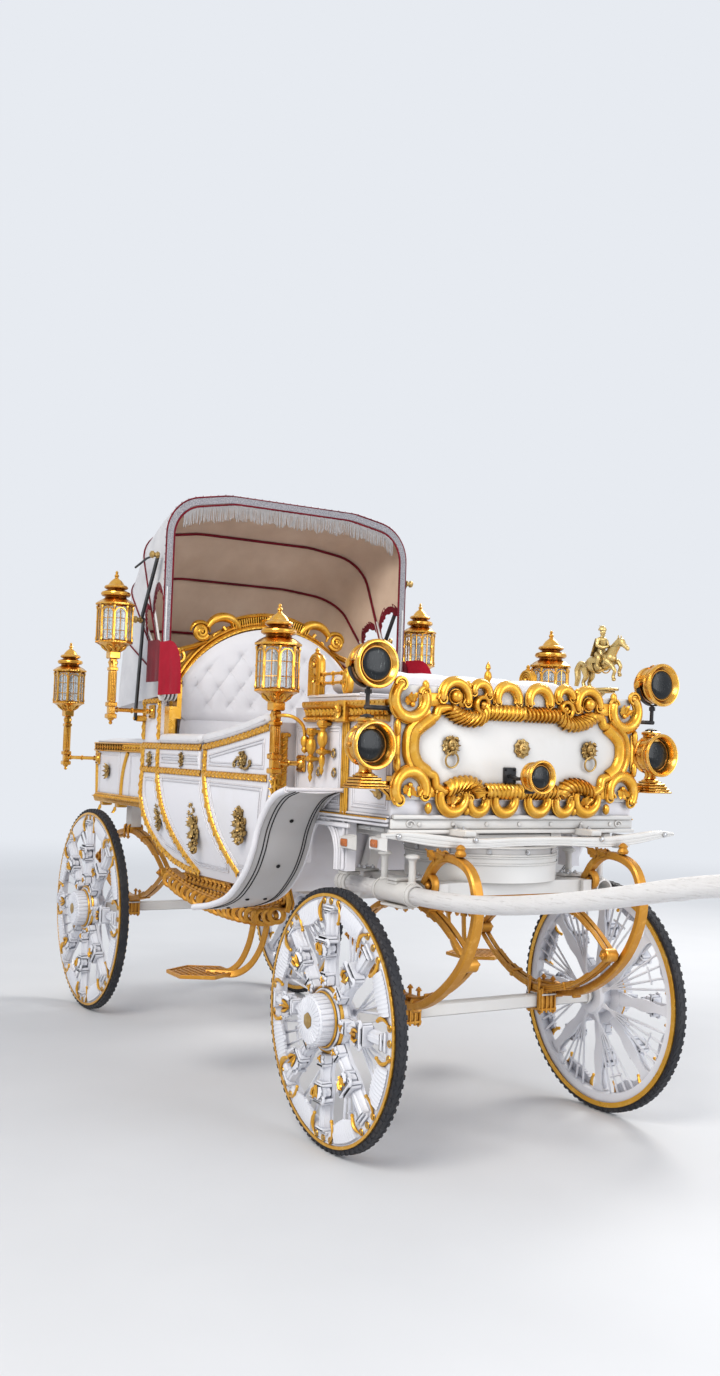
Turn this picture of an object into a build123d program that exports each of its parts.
"""An open horse drawn carriage with a folding hood, four wheels and a steered forecarriage.

Millimetres. +X is forward, +Y is the carriage's left, +Z is up, and the wheels stand on z = 0.
Places along the carriage are measured from the front axle: fore + d lies d in front of it.
"""
import os
from math import atan, cos, degrees, radians, sin

from build123d import *

os.makedirs("parts", exist_ok=True)

# Driving dimensions
fore = 493.1                # x of the front axle, so that the middle of the length is at 0
wheelbase = 2740.0
aft = fore - wheelbase      # x of the rear axle
half_track = 650.0
front_wheel_r = 480.0
rear_wheel_r = 550.0
tub_half_width = 660.0
tub_wall = 25.0
tub_floor_z = 857.0         # underside of the passenger tub
belt_z = 1477.0             # top of the tub's side behind the door
boot_half_width = 576.0
boot_front = fore + 232.0
boot_z = 1226.0
boot_top_z = 1640.0
deck_half_width = 550.0
rail_y = 200.0              # the two chassis rails
running_gap = 0.05          # radial play of every pin and axle end


def at_xz(points):
    """Points of a side view, each (distance from the front axle, z), for a sketch on Plane.XZ."""
    return [(fore + d, z) for d, z in points]


# Wheels: a tyre seated on a felloe, sculpted columns and thin rods round a hub drum
tyre_depth = 22.0
tyre_half_width = 20.0
axle_end_r = 20.0
column_count = 8
rod_count = 16
hub_r = 88.0
hub_inner = -62.0           # hub faces, along the axle from the wheel's middle, outward positive
hub_outer = 112.0

corners = {
    # corner: (x, wheel radius, side)
    "front_right": (fore, front_wheel_r, -1),
    "front_left": (fore, front_wheel_r, 1),
    "rear_right": (aft, rear_wheel_r, -1),
    "rear_left": (aft, rear_wheel_r, 1),
}

for corner, (wheel_x, wheel_r, side) in corners.items():
    axis_line = Axis((wheel_x, 0, wheel_r), (0, 1, 0))
    middle_y = side * half_track
    felloe_r = wheel_r - tyre_depth
    ring_in = felloe_r - 58.0
    disc = Plane(origin=(wheel_x, middle_y, wheel_r), x_dir=(1, 0, 0), z_dir=(0, side, 0))
    # In this view local x is the radius and local y runs outward along the axle
    section = Plane(origin=(wheel_x, middle_y, wheel_r), x_dir=(1, 0, 0), z_dir=(0, 0, side))

    with BuildPart() as tyre:
        with BuildSketch(section):
            with Locations((wheel_r - tyre_depth / 2, 0)):
                Rectangle(tyre_depth, 2 * tyre_half_width)
        revolve(axis=axis_line)
    tyre.part.label = f"tyre_{corner}"
    export_step(tyre.part, f"parts/tyre_{corner}.step")

    with BuildPart() as wheel:
        with BuildSketch(section):
            with BuildLine():
                Polyline((ring_in, -8), (ring_in + 8, -22), (felloe_r, -22), (felloe_r, 24),
                         (ring_in + 12, 34), (ring_in, 20), (ring_in, -8))
            make_face()
        revolve(axis=axis_line)
        with BuildSketch(section):
            with BuildLine():
                Polyline((0, hub_inner), (hub_r, hub_inner), (hub_r, 44), (hub_r + 10, 50), (hub_r + 10, 66),
                         (hub_r - 8, 72), (58, 76), (50, hub_outer - 8), (28, hub_outer), (0, hub_outer),
                         (0, hub_inner))
            make_face()
        revolve(axis=axis_line)
        # Sculpted columns: a flared foot, a lower shaft, a blocky capital, an upper shaft and a flared head
        edge = [
            (hub_r - 10, 26), (hub_r + 16, 30), (hub_r + 32, 17), (ring_in - 186, 15), (ring_in - 172, 36),
            (ring_in - 128, 36), (ring_in - 112, 16), (ring_in - 40, 17), (ring_in - 12, 40), (ring_in + 10, 40),
        ]
        column = edge + [(u, -v) for u, v in reversed(edge)]
        capital = [(ring_in - 168, 31), (ring_in - 132, 31), (ring_in - 132, -31), (ring_in - 168, -31)]
        for outline, low, depth in ((column, -4.0, 30.0), (capital, 26.0, 34.0)):
            with BuildSketch(disc.offset(low)):
                for turn in range(column_count):
                    spin = 360.0 * turn / column_count
                    with BuildLine():
                        Polyline(*[Vector(u, v).rotate(Axis.Z, spin) for u, v in outline], close=True)
                    make_face()
            extrude(amount=depth)
        # Thin rods behind, from the hub's inner end to the ring
        rod_slope_out = 34.0
        for turn in range(rod_count):
            angle = radians(360.0 * (turn + 0.5) / rod_count)
            start = disc.offset(hub_inner + 10).from_local_coords(
                Vector((hub_r - 20) * cos(angle), (hub_r - 20) * sin(angle), 0))
            end = disc.offset(hub_inner + 10 + rod_slope_out).from_local_coords(
                Vector((ring_in + 6) * cos(angle), (ring_in + 6) * sin(angle), 0))
            with BuildSketch(Plane(origin=start, z_dir=end - start)):
                RegularPolygon(radius=5.5, side_count=6)
            extrude(amount=(end - start).length)
        # Blind bore for the axle end
        with BuildSketch(disc.offset(hub_inner)):
            Circle(axle_end_r + running_gap)
        extrude(amount=120, mode=Mode.SUBTRACT)
    wheel.part.label = f"wheel_{corner}"
    export_step(wheel.part, f"parts/wheel_{corner}.step")

# Axles: a square bar with round ends that run in the hubs
axle_reach = half_track + hub_inner + 110.0
bar_end = half_track + hub_inner - 6.0
axle_bar = 50.0
pad_depth = 6.0
fore_spring_y = 330.0
rear_spring_y = 420.0
for axle_name, axle_x, axle_z, pad_y in (
    # name, x, z, y of the spring pads
    ("fore_axle", fore, front_wheel_r, fore_spring_y),
    ("rear_axle", aft, rear_wheel_r, rear_spring_y),
):
    with BuildPart() as axle:
        with BuildSketch(Plane.XZ.offset(-bar_end)):
            with Locations((axle_x, axle_z)):
                Rectangle(axle_bar, axle_bar)
        extrude(amount=2 * bar_end)
        with BuildSketch(Plane.XZ.offset(-axle_reach)):
            with Locations((axle_x, axle_z)):
                Circle(axle_end_r)
        extrude(amount=2 * axle_reach)
        # Spring pads on the bar
        pad_z = axle_z + axle_bar / 2 + pad_depth / 2
        with Locations((axle_x, pad_y, pad_z), (axle_x, -pad_y, pad_z)):
            Box(110, 74, pad_depth)
    axle.part.label = axle_name
    export_step(axle.part, f"parts/{axle_name}.step")

# Elliptic leaf springs: two bowed packs that meet at their tips
leaf_depth = 8.0
leaf_count = 3
clamp_depth = 34.0
spring_seat = axle_bar / 2 + pad_depth + 9.0    # from the axle's middle to the lower pack's underside
spring_rise = 400.0
fore_spring_top = front_wheel_r + spring_seat + spring_rise + 9.0
rear_spring_top = rear_wheel_r + spring_seat + spring_rise + 9.0
for spring_name, spring_x, spring_z, spring_y, half_length, rise, width in (
    # name, x, z of the lower pack's underside, y, half length, height of the pair, width
    ("fore_springs", fore, front_wheel_r + spring_seat, fore_spring_y, 400.0, spring_rise, 50.0),
    ("rear_springs", aft, rear_wheel_r + spring_seat, rear_spring_y, 500.0, spring_rise, 60.0),
):
    centre_z = spring_z + rise / 2
    with BuildPart() as spring:
        for up in (-1, 1):
            for leaf in range(leaf_count):
                reach = half_length * (1.0 - 0.24 * leaf)
                bow = rise / 2 - 20
                low = centre_z + up * (rise / 2 - leaf_depth * leaf)
                end_fall = bow * (reach / half_length) ** 2
                with BuildSketch(Plane.XZ.offset(-spring_y - width / 2)):
                    with BuildLine():
                        ThreePointArc((spring_x - reach, low - up * end_fall), (spring_x, low),
                                      (spring_x + reach, low - up * end_fall))
                        Line((spring_x + reach, low - up * end_fall),
                             (spring_x + reach, low - up * (end_fall + leaf_depth)))
                        ThreePointArc((spring_x + reach, low - up * (end_fall + leaf_depth)),
                                      (spring_x, low - up * leaf_depth),
                                      (spring_x - reach, low - up * (end_fall + leaf_depth)))
                        Line((spring_x - reach, low - up * (end_fall + leaf_depth)),
                             (spring_x - reach, low - up * end_fall))
                    make_face()
                extrude(amount=width)
        # Eyes that pin the two packs together at the tips
        for end in (-1, 1):
            with BuildSketch(Plane.XZ.offset(-spring_y - width / 2)):
                with Locations((spring_x + end * half_length, centre_z)):
                    Circle(26)
            extrude(amount=width)
        # Each pack is a pair: a slot divides the leaves between the clamps and the eyes
        slot_length = half_length - 30 - 46
        for end in (-1, 1):
            with Locations((spring_x + end * (46 + slot_length / 2), spring_y, centre_z)):
                Box(slot_length, 8, rise + 20, mode=Mode.SUBTRACT)
        # Clamp blocks above and below
        for up in (-1, 1):
            with Locations((spring_x, spring_y, centre_z + up * (rise / 2 - 8))):
                Box(100, width + 10, clamp_depth)
        mirror(about=Plane.XZ)
    spring.part.label = spring_name
    export_step(spring.part, f"parts/{spring_name}.step")

# Forecarriage frame: side members on the springs, cross bars and the lower turntable ring
frame_top = 992.0
frame_y = 345.0
ring_r = 300.0
ring_in_r = 250.0
lower_ring_z = 1060.0
ring_depth = 26.0
king_r = 22.0
with BuildPart() as fore_frame:
    with Locations((fore - 20, frame_y, (fore_spring_top + frame_top) / 2),
                   (fore - 20, -frame_y, (fore_spring_top + frame_top) / 2)):
        Box(540, 40, frame_top - fore_spring_top)
    with Locations(*[(fore + d, 0, frame_top - 25) for d in (-240, 0, 200)]):
        Box(60, 2 * frame_y, 50)
    with BuildSketch(Plane.XY.offset(frame_top)):
        with Locations((fore, 0)):
            Circle(ring_r)
            Circle(ring_in_r, mode=Mode.SUBTRACT)
            with PolarLocations(0, 2):
                Rectangle(2 * ring_in_r + 20, 60)
            Circle(60)
    extrude(amount=lower_ring_z + ring_depth - frame_top)
    with BuildSketch(Plane.XY.offset(frame_top - 60)):
        with Locations((fore, 0)):
            Circle(king_r + running_gap)
    extrude(amount=200, mode=Mode.SUBTRACT)
fore_frame.part.label = "fore_frame"
export_step(fore_frame.part, "parts/fore_frame.step")

# Upper turntable ring with the king pin, under the body
turntable_gap = 6.0
upper_ring_z = lower_ring_z + ring_depth + turntable_gap
carrier_z = 1125.0
with BuildPart() as turntable:
    with BuildSketch(Plane.XY.offset(upper_ring_z)):
        with Locations((fore, 0)):
            Circle(ring_r)
            Circle(ring_in_r, mode=Mode.SUBTRACT)
            Rectangle(60, 2 * ring_in_r + 20)
            Rectangle(2 * ring_in_r + 20, 60)
    extrude(amount=carrier_z - upper_ring_z)
    with BuildSketch(Plane.XY.offset(frame_top - 40)):
        with Locations((fore, 0)):
            Circle(king_r)
    extrude(amount=carrier_z - frame_top + 40)
turntable.part.label = "turntable"
export_step(turntable.part, "parts/turntable.step")

# Large C scrolls in front of the axle, each standing beside a spring
scroll_y = 385.0
scroll_start = front_wheel_r + axle_bar / 2 + 20
scroll_path = at_xz([(-30, scroll_start), (230, 545), (455, 730), (525, 930), (440, 1086),
                     (262, 1082), (185, 985)])
with BuildPart() as fore_scrolls:
    with BuildLine(Plane.XZ.offset(-scroll_y)):
        FilletPolyline(*scroll_path, radius=[180, 180, 150, 70, 60])
    with BuildSketch(Plane(origin=(scroll_path[0][0], scroll_y, scroll_path[0][1]), x_dir=(0, 1, 0),
                           z_dir=(scroll_path[1][0] - scroll_path[0][0], 0,
                                  scroll_path[1][1] - scroll_path[0][1]))):
        Rectangle(30, 40)
    sweep()
    mirror(about=Plane.XZ)
fore_scrolls.part.label = "fore_scrolls"
export_step(fore_scrolls.part, "parts/fore_scrolls.step")

# Shaft sockets: a collar and a rear clamp on each side, with mushroom headed pins
socket_y = 452.0
socket_z = 950.0
shaft_r = 33.0
socket_wall = 9.0
socket_length = 250.0
socket_mid = fore + 105.0
with BuildPart() as shaft_sockets:
    with BuildSketch(Plane.YZ.offset(socket_mid - socket_length / 2)):
        with Locations((socket_y, socket_z)):
            Circle(shaft_r + socket_wall)
    extrude(amount=socket_length)
    with BuildSketch(Plane.YZ.offset(fore - 300)):
        with Locations((socket_y, socket_z)):
            Circle(shaft_r + socket_wall)
    extrude(amount=70)
    for lug_x in (fore - 265, socket_mid):
        with Locations((lug_x, (frame_y - 20 + socket_y + 30) / 2, frame_top + 6)):
            Box(64, socket_y - frame_y + 50, 12)
        with Locations((lug_x, socket_y - 4, frame_top - 12)):
            Box(64, 68, 26)
    for pin_x in (fore + 7, fore + 198):
        with BuildSketch(Plane.XY.offset(socket_z + shaft_r)):
            with Locations((pin_x, socket_y)):
                Circle(14)
        extrude(amount=100)
        with BuildSketch(Plane.XY.offset(socket_z + shaft_r + 100)):
            with Locations((pin_x, socket_y)):
                Circle(26)
        extrude(amount=12, taper=20)
    with BuildSketch(Plane.YZ.offset(fore - 400)):
        with Locations((socket_y, socket_z)):
            Circle(shaft_r)
    extrude(amount=800, mode=Mode.SUBTRACT)
    mirror(about=Plane.XZ)
shaft_sockets.part.label = "shaft_sockets"
export_step(shaft_sockets.part, "parts/shaft_sockets.step")

# The one shaft that is left, on the right: a pole with natural bends
shaft_tip = 2300.0
shaft_route = [
    # distance from the front axle, y, z
    (-320, -socket_y, socket_z), (360, -socket_y, socket_z), (1130, -468, 1036),
    (1650, -478, 1140), (shaft_tip, -480, 1215),
]
shaft_points = [(fore + d, y, z) for d, y, z in shaft_route]
with BuildPart() as shaft:
    with BuildLine():
        FilletPolyline(*shaft_points, radius=[1500, 2000, 2500])
    with BuildSketch(Plane(origin=shaft_points[0], x_dir=(0, 1, 0), z_dir=(1, 0, 0))):
        Circle(shaft_r)
    sweep()
shaft.part.label = "shaft_right"
export_step(shaft.part, "parts/shaft_right.step")

# Chassis: two rails that sweep under the tub, with cross members
rail_depth = 50.0
rail_path = at_xz([(-3050, 1110), (-2230, 1110), (-1720, 832), (-700, 832), (-550, 920),
                   (-470, 1100), (-380, 1150), (225, 1150)])
with BuildPart() as chassis:
    with BuildLine(Plane.XZ.offset(-rail_y)):
        FilletPolyline(*rail_path, radius=[300, 300, 80, 80, 60, 60])
    with BuildSketch(Plane(origin=(rail_path[0][0], rail_y, rail_path[0][1]), x_dir=(0, 1, 0),
                           z_dir=(1, 0, 0))):
        Rectangle(rail_depth, rail_depth)
    sweep()
    mirror(about=Plane.XZ)
    cross_members = [(-3020, 1110), (-2300, 1110), (-1650, 832), (-800, 832), (-300, 1150), (190, 1150)]
    for cross_d, cross_z in cross_members:
        with Locations((fore + cross_d, 0, cross_z)):
            Box(60, 2 * rail_y, 40)
    # Pads that carry the rear springs
    with Locations((aft, 0, 1110)):
        Box(80, 2 * rear_spring_y + 60, 40)
    for pad_side in (-1, 1):
        with Locations((aft, pad_side * rear_spring_y, (rear_spring_top + 1110) / 2)):
            Box(80, 60, 1110 - rear_spring_top)
chassis.part.label = "chassis"
export_step(chassis.part, "parts/chassis.step")


# Tub: a bombe shell, the meeting of a side outline and a cross section
tub_rear = -2030.0
tub_front = -520.0
tub_arm_z = 1577.0
quarter_z = 1700.0          # the raised rear corner that carries the hood's pillar
quarter_front = -1790.0


def tub_outline():
    """The tub's side outline, closed, on Plane.XZ."""
    Polyline(*at_xz([(tub_rear, quarter_z), (tub_rear, 1190)]))
    ThreePointArc(*at_xz([(tub_rear, 1190), (-1860, 955), (-1500, tub_floor_z)]))
    Line(*at_xz([(-1500, tub_floor_z), (-740, tub_floor_z)]))
    ThreePointArc(*at_xz([(-740, tub_floor_z), (-585, 950), (tub_front, 1180)]))
    Line(*at_xz([(tub_front, 1180), (tub_front, tub_arm_z)]))
    ThreePointArc(*at_xz([(tub_front, tub_arm_z), (-900, 1506), (-1270, belt_z)]))
    Polyline(*at_xz([(-1270, belt_z), (quarter_front, belt_z), (quarter_front, quarter_z),
                     (tub_rear, quarter_z)]))


def tub_section(grow=0.0):
    """Half of the tub's cross section, closed on the middle plane, on Plane.YZ."""
    half = tub_half_width + grow
    Line((0, tub_floor_z - grow), (560 + grow, tub_floor_z - grow))
    ThreePointArc((560 + grow, tub_floor_z - grow), (half - 18, 1060), (half, 1330))
    Polyline((half, 1330), (half, 1760), (0, 1760), (0, tub_floor_z - grow))


with BuildPart() as tub_void:
    with BuildSketch(Plane.XZ.offset(-900)) as void_side:
        with BuildLine():
            tub_outline()
        make_face()
        offset(amount=-tub_wall, kind=Kind.INTERSECTION)
    extrude(amount=1800)
    with BuildSketch(Plane.XZ.offset(-900)):
        with Locations((fore + (tub_rear + tub_front) / 2, 1600)):
            Rectangle(tub_front - tub_rear - 2 * tub_wall, 330)
    extrude(amount=1800)
    with BuildSketch(Plane.YZ.offset(fore - 2500)):
        with BuildLine():
            tub_section(-tub_wall)
        make_face()
        mirror(about=Plane.YZ)
    extrude(amount=2500, mode=Mode.INTERSECT)

# The door takes the tub's front cell, hinged along its rear edge
door_rear = -1262.0
door_hinge_y = tub_half_width + 14.0
barrel_z = 1405.0
barrel_length = 80.0
door_edge = [(door_rear, 1700), (door_rear, 1330), (-1000, 905), (-700, 905), (-640, 1000),
             (-585, 1300), (-560, 1700)]


def door_outline(gap):
    """The door's side outline; gap widens it to the hole that it closes."""
    lead = 0.0 if gap == 0 else 22.0
    points = []
    for d, z in door_edge:
        step = -gap if d < -900 else gap + lead * (1700 - z) / 800
        points.append((d + step, z - gap if z < 910 else z))
    Polyline(*at_xz(points), close=True)


with BuildPart() as tub_skin:
    with BuildSketch(Plane.XZ.offset(-900)):
        with BuildLine():
            tub_outline()
        make_face()
    extrude(amount=1800)
    with BuildSketch(Plane.YZ.offset(fore - 2500)):
        with BuildLine():
            tub_section()
        make_face()
        mirror(about=Plane.YZ)
    extrude(amount=2500, mode=Mode.INTERSECT)

with BuildPart() as tub:
    add(tub_skin.part)
    add(tub_void.part, mode=Mode.SUBTRACT)
    for door_side in (-1, 1):
        with BuildSketch(Plane.XZ.offset(-door_side * 420)):
            with BuildLine():
                door_outline(7.0)
            make_face()
        extrude(amount=-door_side * 400, mode=Mode.SUBTRACT)
tub.part.label = "tub"
export_step(tub.part, "parts/tub.step")

# Gold bands: the belt, the lower band and the curved strips that divide the panels
strip_depth = 9.0
strips = [
    # four corners of each strip as (distance from the front axle, z)
    [(-2026, 1330), (-530, 1330), (-530, 1358), (-2026, 1358)],
    [(-2026, 1450), (-1270, 1450), (-1270, 1477), (-2026, 1477)],
    [(-1270, 1450), (-530, 1548), (-530, 1577), (-1270, 1477)],
    [(-2026, 1195), (-2000, 1195), (-2000, 1477), (-2026, 1477)],
    [(-1825, 1330), (-1795, 1330), (-1795, 1477), (-1825, 1477)],
    [(-1825, 1330), (-1470, 865), (-1440, 865), (-1795, 1330)],
    [(-1248, 1330), (-1218, 1330), (-1218, 1480), (-1248, 1480)],
    [(-1262, 1330), (-1000, 905), (-962, 905), (-1228, 1330)],
]
with BuildPart() as band_stock:
    with BuildSketch(Plane.YZ.offset(fore - 2500)):
        with BuildLine():
            tub_section(strip_depth)
        make_face()
        mirror(about=Plane.YZ)
    extrude(amount=2500)
    with BuildSketch(Plane.YZ.offset(fore - 2500)):
        with BuildLine():
            tub_section()
        make_face()
        mirror(about=Plane.YZ)
    extrude(amount=2500, mode=Mode.SUBTRACT)
    with Locations((fore - 1250, 0, 860)):
        Box(2600, 2400, 20, mode=Mode.SUBTRACT)
    with Locations((fore - 1250, 0, 1750)):
        Box(2600, 2400, 200, mode=Mode.SUBTRACT)
with BuildPart() as all_bands:
    with BuildSketch(Plane.XZ.offset(-900)):
        for strip in strips:
            with BuildLine():
                Polyline(*at_xz(strip), close=True)
            make_face()
    extrude(amount=1800)
    add(band_stock.part, mode=Mode.INTERSECT)

with BuildPart() as tub_bands:
    add(all_bands.part)
    with BuildSketch(Plane.XZ.offset(-900)):
        with BuildLine():
            door_outline(7.0)
        make_face()
    extrude(amount=1800, mode=Mode.SUBTRACT)
tub_bands.part.label = "tub_bands"
export_step(tub_bands.part, "parts/tub_bands.step")

for hand, door_side in (("right", -1), ("left", 1)):
    with BuildPart() as door:
        with BuildSketch(Plane.XZ.offset(-door_side * 420)):
            with BuildLine():
                door_outline(0.0)
            make_face()
        extrude(amount=-door_side * 400)
        add(tub_skin.part, mode=Mode.INTERSECT)
        add(tub_void.part, mode=Mode.SUBTRACT)
        # The hinge's barrel and its leaf
        with Locations((fore + door_rear, door_side * door_hinge_y, barrel_z)):
            Cylinder(8, barrel_length)
        with Locations((fore + door_rear + 6, door_side * (tub_half_width + 7), barrel_z)):
            Box(12, 18, barrel_length)
    door.part.label = f"door_{hand}"
    export_step(door.part, f"parts/door_{hand}.step")

    with BuildPart() as door_bands:
        with BuildSketch(Plane.XZ.offset(-door_side * 420)):
            with BuildLine():
                door_outline(0.0)
            make_face()
        extrude(amount=-door_side * 400)
        add(all_bands.part, mode=Mode.INTERSECT)
    door_bands.part.label = f"door_bands_{hand}"
    export_step(door_bands.part, f"parts/door_bands_{hand}.step")

# Passenger seat: box, cushion, buttoned back in a gold crest, and arm pads on the belt
with BuildPart() as seat_box:
    add(tub_void.part)
    with Locations((fore - 1780, 0, 1000)):
        Box(600, 1400, 560, mode=Mode.INTERSECT)
    with Locations((fore - 1675, 0, 1131)):
        Box(350, 1040, 262, mode=Mode.SUBTRACT)
seat_box.part.label = "seat_box"
export_step(seat_box.part, "parts/seat_box.step")

with BuildPart() as seat_cushion:
    with Locations((fore - 1670, 0, 1345)):
        Box(440, 1200, 128)
    fillet(seat_cushion.edges().filter_by(Axis.Y), radius=30)
seat_cushion.part.label = "seat_cushion"
export_step(seat_cushion.part, "parts/seat_cushion.step")

back_half = 510.0
with BuildPart() as seat_back:
    with BuildSketch(Plane.YZ.offset(fore - 2005)):
        with BuildLine():
            Polyline((-back_half, 1290), (-back_half, 1760))
            ThreePointArc((-back_half, 1760), (0, 2100), (back_half, 1760))
            Polyline((back_half, 1760), (back_half, 1290), (-back_half, 1290))
        make_face()
    extrude(amount=95)
seat_back.part.label = "seat_back"
export_step(seat_back.part, "parts/seat_back.step")

with BuildPart() as seat_crest:
    with BuildSketch(Plane.YZ.offset(fore - 2005)):
        with BuildLine():
            Polyline((-back_half - 50, 1500), (-back_half - 50, 1790))
            ThreePointArc((-back_half - 50, 1790), (0, 2160), (back_half + 50, 1790))
            Polyline((back_half + 50, 1790), (back_half + 50, 1500), (back_half, 1500), (back_half, 1760))
            ThreePointArc((back_half, 1760), (0, 2100), (-back_half, 1760))
            Polyline((-back_half, 1760), (-back_half, 1500), (-back_half - 50, 1500))
        make_face()
    extrude(amount=50)
seat_crest.part.label = "seat_crest"
export_step(seat_crest.part, "parts/seat_crest.step")

# Pillars at the tub's rear corners: they carry the hood's pivot
pivot_d = -1720.0
pivot_z = 1730.0
hood_half_width = 700.0
lug_y = 596.0
pivot_pin_r = 18.0
with BuildPart() as hood_pillars:
    with Locations((fore + pivot_d, 646, (belt_z + 1660) / 2)):
        Box(60, 26, 1660 - belt_z)
    with Locations((fore + pivot_d, (lug_y + 659) / 2, 1630)):
        Box(60, 659 - lug_y, 60)
    with Locations((fore + pivot_d, lug_y + 12, 1690)):
        Box(60, 24, 160)
    with BuildSketch(Plane.XZ.offset(-lug_y)):
        with Locations((fore + pivot_d, pivot_z)):
            Circle(pivot_pin_r)
    extrude(amount=-(hood_half_width + 2 - lug_y))
    mirror(about=Plane.XZ)
hood_pillars.part.label = "hood_pillars"
export_step(hood_pillars.part, "parts/hood_pillars.step")

# Rear deck behind the tub
deck_back = -3050.0
with BuildPart() as rear_deck:
    with BuildSketch(Plane.XZ.offset(-deck_half_width)):
        with BuildLine():
            Polyline(*at_xz([(tub_rear, 1135), (tub_rear, 1473), (deck_back, 1473), (deck_back + 40, 1135)]),
                     close=True)
        make_face()
    extrude(amount=2 * deck_half_width)
    with Locations((fore - 2518, 0, 1304)):
        Box(936, 2 * deck_half_width - 40, 298, mode=Mode.SUBTRACT)
rear_deck.part.label = "rear_deck"
export_step(rear_deck.part, "parts/rear_deck.step")

# Gold band round the deck's upper edge
with BuildPart() as deck_trim:
    band_reach = tub_rear - deck_back + 13
    with Locations((fore + tub_rear - 2 - band_reach / 2, 0, 1448)):
        Box(band_reach, 2 * deck_half_width + 30, 50)
    with Locations((fore + deck_back + 700, 0, 1448)):
        Box(1400, 2 * deck_half_width, 60, mode=Mode.SUBTRACT)
deck_trim.part.label = "deck_trim"
export_step(deck_trim.part, "parts/deck_trim.step")

# Boot: the box under the driver, with its arched skirts and the carrier below
with BuildPart() as boot:
    with BuildSketch(Plane.XY.offset(boot_z)):
        with Locations((fore - 134 - 10, 0)):
            Rectangle(752, 2 * boot_half_width)
    extrude(amount=boot_top_z - boot_z)
    with BuildSketch(Plane.XY.offset(boot_z + 20)):
        with Locations((fore - 134 - 10, 0)):
            Rectangle(712, 2 * boot_half_width - 40)
    extrude(amount=boot_top_z - boot_z - 40, mode=Mode.SUBTRACT)
boot.part.label = "boot"
export_step(boot.part, "parts/boot.step")

with BuildPart() as boot_skirts:
    with BuildSketch(Plane.XZ.offset(-boot_half_width)):
        with Locations((fore - 290, 1119)):
            Rectangle(440, 214)
        with Locations((fore - 290, 1020)):
            Rectangle(260, 90, mode=Mode.SUBTRACT)
        with Locations((fore - 290, 1065)):
            Circle(130, mode=Mode.SUBTRACT)
    extrude(amount=40)
    mirror(about=Plane.XZ)
    with Locations((fore - 25, 0, 1200)):
        Box(500, 900, 50)
boot_skirts.part.label = "boot_skirts"
export_step(boot_skirts.part, "parts/boot_skirts.step")

# Moulded cornice along the top of the boot's sides
with BuildPart() as boot_cornice:
    with BuildSketch(Plane.YZ.offset(fore - 420)):
        with BuildLine():
            Polyline((boot_half_width, 1580), (588, 1580), (594, 1598), (586, 1612), (588, 1630), (602, 1646),
                     (602, 1660), (boot_half_width, 1660), close=True)
        make_face()
    extrude(amount=632)
    mirror(about=Plane.XZ)
boot_cornice.part.label = "boot_cornice"
export_step(boot_cornice.part, "parts/boot_cornice.step")

# Front panel: a white board with a lobed gold frame round its field
panel_depth = 14.0
frame_depth = 24.0
field_z = 1480.0
lobes = [
    # y, z, radius, of the left half
    (505, 1670, 72), (322, 1710, 64), (189, 1724, 40), (77, 1713, 54),
    (505, 1348, 69), (319, 1304, 62), (198, 1315, 48), (80, 1299, 54),
]
with BuildPart() as dash_panel:
    with BuildSketch(Plane.YZ.offset(boot_front)):
        with Locations((0, 1508)):
            RectangleRounded(1120, 420, 50)
    extrude(amount=panel_depth)
dash_panel.part.label = "dash_panel"
export_step(dash_panel.part, "parts/dash_panel.step")

with BuildPart() as dash_frame:
    with BuildSketch(Plane.YZ.offset(boot_front + panel_depth)):
        with Locations((0, 1508)):
            RectangleRounded(1130, 424, 60)
        for lobe_y, lobe_z, lobe_r in lobes:
            with Locations((lobe_y, lobe_z), (-lobe_y, lobe_z)):
                Circle(lobe_r)
        with Locations((0, field_z)):
            RectangleRounded(936, 300, 60, mode=Mode.SUBTRACT)
    extrude(amount=frame_depth)
dash_frame.part.label = "dash_frame"
export_step(dash_frame.part, "parts/dash_frame.step")

# Small lamp on an arm in front of the panel
centre_lamp_place = (fore + 450.0, -55.0, 1396.0)
centre_lamp_r = 62.5
with BuildPart() as centre_lamp:
    lamp_x, lamp_y, lamp_z = centre_lamp_place
    with BuildSketch(Plane.YZ.offset(lamp_x - 74)):
        with Locations((lamp_y, lamp_z)):
            Circle(34)
    extrude(amount=30, taper=-40)
    with BuildSketch(Plane.YZ.offset(lamp_x - 44)):
        with Locations((lamp_y, lamp_z)):
            Circle(centre_lamp_r)
    extrude(amount=44)
    with BuildSketch(Plane.YZ.offset(lamp_x - 12)):
        with Locations((lamp_y, lamp_z)):
            Circle(centre_lamp_r - 8)
    extrude(amount=20, mode=Mode.SUBTRACT)
    arm_root = boot_front + panel_depth
    with Locations(((arm_root + lamp_x - 60) / 2, lamp_y, lamp_z)):
        Box(lamp_x - 60 - arm_root, 22, 12)
    with Locations((arm_root + 3, lamp_y, lamp_z)):
        Box(6, 60, 60)
centre_lamp.part.label = "centre_lamp"
export_step(centre_lamp.part, "parts/centre_lamp.step")

with BuildPart() as footboard:
    with BuildSketch(Plane.YZ.offset(fore + 345)):
        with BuildLine():
            Polyline((-683, 1195), (-683, 1165), (-560, 1150), (-420, 1130), (420, 1130), (560, 1150),
                     (683, 1165), (683, 1195), close=True)
        make_face()
    extrude(amount=30)
    with Locations((fore + 287.5, 300, 1182), (fore + 287.5, -300, 1182)):
        Box(125, 50, 26)
footboard.part.label = "footboard"
export_step(footboard.part, "parts/footboard.step")

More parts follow.
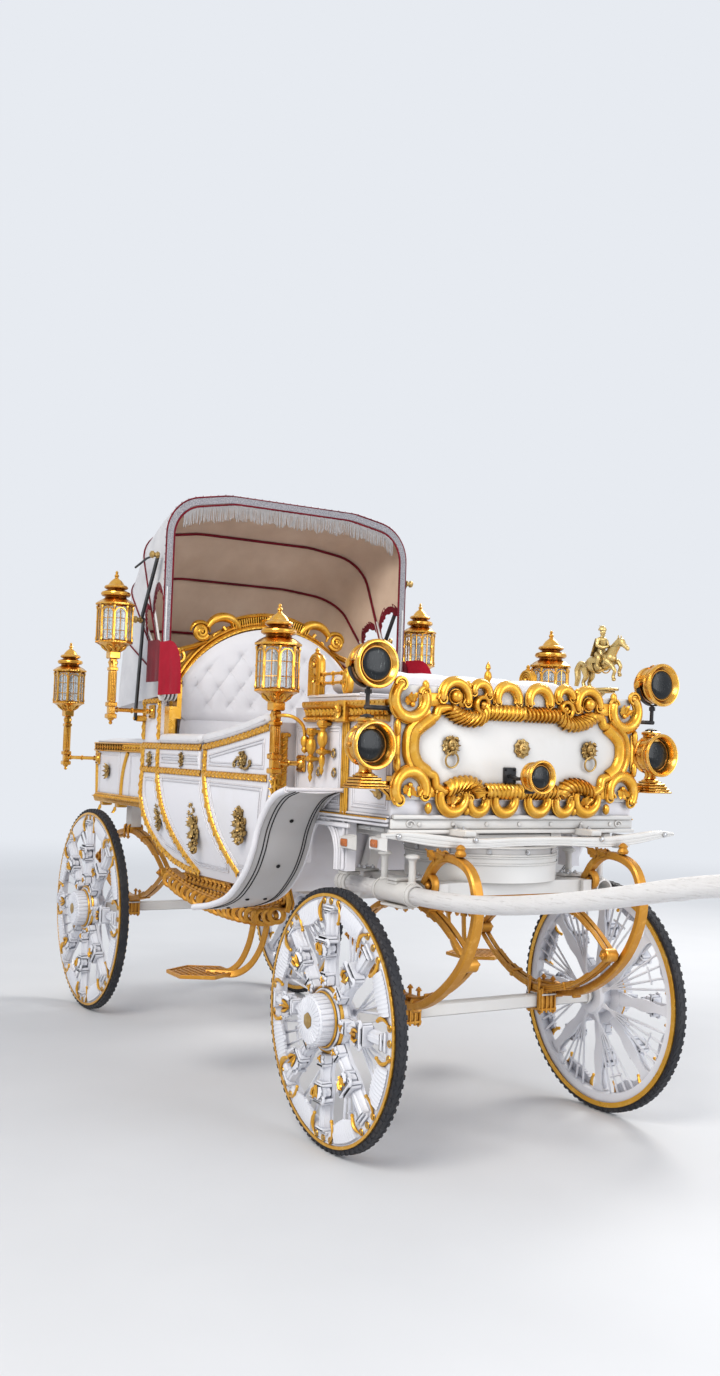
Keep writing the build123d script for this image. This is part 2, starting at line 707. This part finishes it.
# Driver's bench
with BuildPart() as driver_seat:
    with BuildSketch(Plane.XY.offset(boot_top_z)):
        with Locations((fore - 250, 0)):
            Rectangle(400, 1120)
    extrude(amount=50)
    # Open ends: an arched rear upright, two rails and a small front post
    rail_zs = (1738.0, 1775.0)
    with BuildSketch(Plane.XZ.offset(-558)):
        with Locations((fore - 412, 1750)):
            Rectangle(88, 130)
        with Locations((fore - 412, 1815)):
            Circle(44)
        with Locations((fore - 75, 1735)):
            Ellipse(26, 52)
    extrude(amount=26)
    for rail_z in rail_zs:
        with Locations((fore - 240, 545, rail_z)):
            Box(300, 12, 12)
    mirror(about=Plane.XZ)
driver_seat.part.label = "driver_seat"
export_step(driver_seat.part, "parts/driver_seat.step")

with BuildPart() as driver_cushion:
    with Locations((fore - 235, 0, 1740)):
        Box(360, 1050, 98)
    fillet(driver_cushion.edges().filter_by(Axis.Y), radius=25)
driver_cushion.part.label = "driver_cushion"
export_step(driver_cushion.part, "parts/driver_cushion.step")

# Wings over the front wheels
wing_depth = 12.0
for hand, wing_side in (("right", -1), ("left", 1)):
    with BuildPart() as wing:
        with BuildSketch(Plane.XZ.offset(-wing_side * boot_half_width)):
            with BuildLine():
                ThreePointArc(*at_xz([(-90, 1325), (-262, 1245), (-364, 1070)]))
                ThreePointArc(*at_xz([(-364, 1070), (-560, 880), (-904, 790)]))
                Line(*at_xz([(-904, 790), (-906, 790 - wing_depth)]))
                ThreePointArc(*at_xz([(-906, 790 - wing_depth), (-552, 870), (-352, 1066)]))
                ThreePointArc(*at_xz([(-352, 1066), (-252, 1236), (-90, 1325 - wing_depth)]))
                Line(*at_xz([(-90, 1325 - wing_depth), (-90, 1325)]))
            make_face()
        extrude(amount=-wing_side * (840 - boot_half_width))
    wing.part.label = f"wing_{hand}"
    export_step(wing.part, f"parts/wing_{hand}.step")

# Carved sill under the tub
with BuildPart() as sill_carving:
    with Locations((fore - 1210, 520, 829), (fore - 1210, -520, 829)):
        Box(920, 56, 56)
sill_carving.part.label = "sill_carving"
export_step(sill_carving.part, "parts/sill_carving.step")

# Steps: a six sided tread on two bent arms
for hand, step_side in (("right", -1), ("left", 1)):
    with BuildPart() as step:
        with BuildSketch(Plane.XY.offset(478)):
            with Locations((fore - 1010, step_side * 740)):
                RegularPolygon(radius=150, side_count=6)
        extrude(amount=16)
        for root_d in (-950, -820):
            run = Vector(-1000 - root_d, step_side * 200, 0)    # from the sill to the tread, seen from above
            reach = run.length
            with BuildSketch(Plane(origin=(fore + root_d, step_side * 520, 0), x_dir=run,
                                   z_dir=run.cross(Vector(0, 0, 1)))):
                with BuildLine():
                    Polyline((-8, 801), (-8, 716), (0.56 * reach, 478), (reach, 478), (reach, 494),
                             (0.62 * reach, 494), (8, 722), (8, 801), close=True)
                make_face()
            extrude(amount=10, both=True)
    step.part.label = f"step_{hand}"
    export_step(step.part, f"parts/step_{hand}.step")

# Lanterns: six of one pattern, each an eight sided head on a square post
lantern_places = [
    # distance from the front axle, y, z of the post's foot, height, distance and y of the bracket's root
    (-450.0, 705.0, 1367.0, 690.0, -450.0, boot_half_width),
    (-1850.0, 900.0, 1590.0, 730.0, -1900.0, tub_half_width),
    (-3150.0, 700.0, 1334.0, 720.0, -3000.0, deck_half_width),
]
cage_r = 92.0
cage_low = 344.0            # the cage's floor and roof, below the finial's tip
cage_high = 172.0
head_low = 436.0
lantern_tiers = [
    # radius over the corners at the lower and the upper end, distances of both ends below the tip
    (36.0, 84.0, 400.0, 356.0),
    (cage_r, cage_r, 356.0, cage_low),
    (cage_r, 62.0, cage_high, 140.0),
    (54.0, 54.0, 140.0, 126.0),
    (70.0, 66.0, 126.0, 106.0),
    (42.0, 42.0, 106.0, 92.0),
    (56.0, 50.0, 92.0, 76.0),
    (42.0, 14.0, 76.0, 40.0),
    (12.0, 4.0, 40.0, 0.0),
]
with BuildPart() as lantern_head:
    for low_r, high_r, low, high in lantern_tiers:
        with BuildSketch(Plane.XY.offset(-low)):
            RegularPolygon(radius=low_r, side_count=8)
        lean = degrees(atan((low_r - high_r) * cos(radians(22.5)) / (low - high)))
        extrude(amount=low - high, taper=lean)
    with Locations((0, 0, -(cage_low + cage_high) / 2)):
        with PolarLocations(cage_r - 7, 8):
            Box(9, 9, cage_low - cage_high + 8)
    with Locations((0, 0, -(head_low + 400) / 2)):
        Box(56, 56, head_low - 400)

with BuildPart() as lanterns:
    for d, y, foot, height, root_d, root_y in lantern_places:
        add(lantern_head.part.moved(Location((fore + d, y, foot + height))))
        post = height - head_low
        with Locations((fore + d, y, foot + post / 2)):
            Box(34, 34, post)
        with Locations((fore + d, y, foot + 12), (fore + d, y, foot + 70)):
            Box(48, 48, 24)
        root = Vector(fore + root_d, root_y + 6, foot + 45)
        with Locations(root):
            Box(70, 12, 70)
        reach = Vector(fore + d, y, foot + 45) - root
        rod_start = root + reach.normalized() * 4
        with BuildSketch(Plane(origin=rod_start, z_dir=reach)):
            RegularPolygon(radius=11, side_count=6)
        extrude(amount=reach.length - 4)
    mirror(about=Plane.XZ)
lanterns.part.label = "lanterns"
export_step(lanterns.part, "parts/lanterns.step")

with BuildPart() as lantern_glass:
    for d, y, foot, height, root_d, root_y in lantern_places:
        with BuildSketch(Plane.XY.offset(foot + height - cage_low)):
            with Locations((fore + d, y)):
                RegularPolygon(radius=cage_r - 16, side_count=8)
        extrude(amount=cage_low - cage_high)
    mirror(about=Plane.XZ)
lantern_glass.part.label = "lantern_glass"
export_step(lantern_glass.part, "parts/lantern_glass.step")

# Headlamps: two drums on each side of the front panel, the upper on a rod, the lower on a pedestal
lamp_r = 88.0
lamp_face = fore + 300.0
lamp_y = 687.0
upper_lamp_z = 1781.0
lower_lamp_z = 1493.0
lamp_mid = lamp_face - 70.0
lamp_tiers = [
    # radius, z of the lower and the upper face
    (66.0, 1338.0, 1354.0), (58.0, 1354.0, 1370.0), (48.0, 1370.0, 1386.0), (27.0, 1386.0, 1430.0),
    (36.0, 1555.0, 1588.0), (22.0, 1588.0, 1604.0),
]
with BuildPart() as headlamps:
    for lamp_z in (upper_lamp_z, lower_lamp_z):
        with BuildSketch(Plane.YZ.offset(lamp_face - 140)):
            with Locations((lamp_y, lamp_z)):
                Circle(42)
        extrude(amount=34, taper=-45)
        for drum_r, drum_start, drum_length in ((lamp_r - 12, 106.0, 84.0), (lamp_r, 22.0, 22.0)):
            with BuildSketch(Plane.YZ.offset(lamp_face - drum_start)):
                with Locations((lamp_y, lamp_z)):
                    Circle(drum_r)
            extrude(amount=drum_length)
        with BuildSketch(Plane.YZ.offset(lamp_face - 14)):
            with Locations((lamp_y, lamp_z)):
                Circle(lamp_r - 14)
        extrude(amount=20, mode=Mode.SUBTRACT)
    for tier_r, tier_low, tier_high in lamp_tiers:
        with BuildSketch(Plane.XY.offset(tier_low)):
            with Locations((lamp_mid, lamp_y)):
                RegularPolygon(radius=tier_r, side_count=8)
        extrude(amount=tier_high - tier_low)
    with Locations((lamp_mid, lamp_y, 1655)):
        Box(16, 16, 120)
    arm_y = (boot_half_width + lamp_y) / 2
    with Locations((lamp_mid, arm_y, 1360), (lamp_mid, arm_y, 1628)):
        Box(20, lamp_y - boot_half_width, 20)
    mirror(about=Plane.XZ)
headlamps.part.label = "headlamps"
export_step(headlamps.part, "parts/headlamps.step")

with BuildPart() as lamp_lenses:
    for lamp_z in (upper_lamp_z, lower_lamp_z):
        with BuildSketch(Plane.YZ.offset(lamp_face - 14)):
            with Locations((lamp_y, lamp_z)):
                Circle(lamp_r - 14)
        extrude(amount=12)
    mirror(about=Plane.XZ)
    centre_x, centre_y, centre_z = centre_lamp_place
    with BuildSketch(Plane.YZ.offset(centre_x - 12)):
        with Locations((centre_y, centre_z)):
            Circle(centre_lamp_r - 8)
    extrude(amount=10)
lamp_lenses.part.label = "lamp_lenses"
export_step(lamp_lenses.part, "parts/lamp_lenses.step")

# Hood: gores that telescope about one cross axis, the front one outermost
hood_r = 1010.0
layer = 20.0
gore_depth = 4.0
bow_depth = 10.0
pivot = Vector(fore + pivot_d, 0, pivot_z)
hood_axis = Axis((fore + pivot_d, 0, pivot_z), (0, 1, 0))
gores = [
    # name, angle of its bow above the rear horizontal, angle that it reaches back to, layer number
    ("1", 90.0, 62.0, 0),
    ("2", 64.0, 42.0, 1),
    ("3", 44.0, 22.0, 2),
    ("rear", 24.0, -5.0, 3),
]


def hoop_edge(level, depth):
    """The closed outline of a hoop at some depth under its layer; local x is +Y, local y is outward."""
    half = hood_half_width - layer * level - depth
    reach = hood_r - layer * level - depth
    FilletPolyline((-half, 40), (-half, reach - 60), (-half + 330, reach), (half - 330, reach),
                   (half, reach - 60), (half, 40), radius=[200 - depth, 300, 300, 200 - depth])
    Line((half, 40), (-half, 40))


for gore_name, bow_angle, back_angle, level in gores:
    radial = Vector(-cos(radians(bow_angle)), 0, sin(radians(bow_angle)))
    hoop_plane = Plane(origin=pivot, x_dir=(0, 1, 0), z_dir=Vector(0, 1, 0).cross(radial))
    with BuildPart() as gore:
        with BuildSketch(hoop_plane):
            with BuildLine():
                hoop_edge(level, 0.0)
            make_face()
            with BuildLine():
                hoop_edge(level, gore_depth)
            make_face(mode=Mode.SUBTRACT)
        revolve(axis=hood_axis, revolution_arc=-(bow_angle - back_angle))
        # The rear gore also closes the hood's underside behind the tub
        if gore_name == "rear":
            low_dir = Vector(-cos(radians(back_angle)), 0, sin(radians(back_angle)))
            low_plane = Plane(origin=pivot, x_dir=(0, 1, 0), z_dir=Vector(0, 1, 0).cross(low_dir))
            with BuildSketch(low_plane):
                with BuildLine():
                    hoop_edge(level, gore_depth / 2)
                make_face()
                with Locations((0, 0)):
                    Rectangle(2 * hood_r, 2 * (pivot_d - tub_rear + 4), mode=Mode.SUBTRACT)
            extrude(amount=gore_depth)
    gore.part.label = f"hood_gore_{gore_name}"
    export_step(gore.part, f"parts/hood_gore_{gore_name}.step")

    with BuildPart() as bow:
        with BuildSketch(hoop_plane.offset(-15)):
            with BuildLine():
                hoop_edge(level, gore_depth + 0.2)
            make_face()
            with BuildLine():
                hoop_edge(level, gore_depth + bow_depth)
            make_face(mode=Mode.SUBTRACT)
        extrude(amount=30)
        # Eyes on the pivot pins
        leg_y = hood_half_width - layer * level - gore_depth
        for eye_side in (-1, 1):
            with BuildSketch(Plane.XZ.offset(-eye_side * (leg_y - 0.2))):
                with Locations((pivot.X, pivot.Z)):
                    Circle(46)
                    Circle(pivot_pin_r + running_gap, mode=Mode.SUBTRACT)
            extrude(amount=eye_side * (bow_depth - 0.2))
    bow.part.label = f"hood_bow_{gore_name}"
    export_step(bow.part, f"parts/hood_bow_{gore_name}.step")

# Landau irons: a lower and an upper link on each side, with a knee
iron_y = hood_half_width + 12.0
iron_root = (-2000.0, 1600.0)
iron_knee = (-1940.0, 2097.0)
iron_head = (-1745.0, 2405.0)
for iron_name, (start_d, start_z), (end_d, end_z), face_y in (
    ("lower", iron_root, iron_knee, iron_y),
    ("upper", iron_knee, iron_head, iron_y + 12),
):
    slope = Vector(end_d - start_d, 0, end_z - start_z)
    with BuildPart() as iron:
        with BuildSketch(Plane(origin=(fore + start_d, face_y, start_z), x_dir=slope, z_dir=(0, 1, 0))):
            with Locations((slope.length / 2, 0)):
                SlotCenterToCenter(slope.length, 24)
            with Locations((0, 0)):
                Circle(8 + running_gap, mode=Mode.SUBTRACT)
        extrude(amount=10)
        if iron_name == "lower":
            with BuildSketch(Plane(origin=(fore + end_d, face_y, end_z), x_dir=slope, z_dir=(0, 1, 0))):
                Circle(8)
            extrude(amount=30)
        mirror(about=Plane.XZ)
    iron.part.label = f"hood_iron_{iron_name}"
    export_step(iron.part, f"parts/hood_iron_{iron_name}.step")

# Root pins of the irons, on the tub's rear corners
with BuildPart() as iron_roots:
    with BuildSketch(Plane.XZ.offset(-tub_half_width)):
        with Locations((fore + iron_root[0], iron_root[1])):
            Circle(16)
    extrude(amount=-(iron_y - tub_half_width - 2))
    with BuildSketch(Plane.XZ.offset(-tub_half_width)):
        with Locations((fore + iron_root[0], iron_root[1])):
            Circle(8)
    extrude(amount=-(iron_y - tub_half_width + 14))
    mirror(about=Plane.XZ)
iron_roots.part.label = "iron_roots"
export_step(iron_roots.part, "parts/iron_roots.step")
